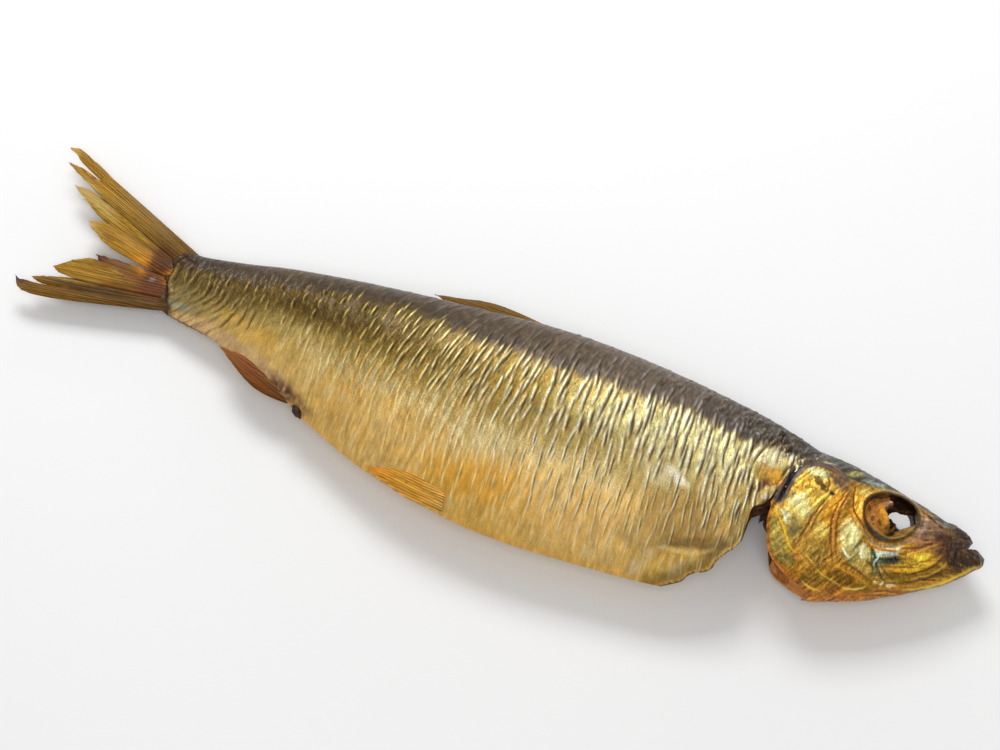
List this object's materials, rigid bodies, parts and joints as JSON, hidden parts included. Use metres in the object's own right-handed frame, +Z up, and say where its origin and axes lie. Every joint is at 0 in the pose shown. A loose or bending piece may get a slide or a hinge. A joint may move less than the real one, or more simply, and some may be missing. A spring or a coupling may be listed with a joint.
{
  "type": "smoked fish",
  "caption": "Whole smoked herring, golden and stiff, with head, split tail and folded fins, gutted through an open cut at the throat and lying on its left side.",
  "frame": {"origin": "the middle of the underside of the fish's box, on the surface that it lies on", "axes": "+X along the fish to the snout, +Y to its back, +Z up out of its right side"},
  "size_m": [0.2981, 0.0718, 0.0277],
  "materials": {
    "smoked_skin": "glossy"
  },
  "bodies": {
    "root": {"fish": "smoked_skin"}
  },
  "joints": []
}
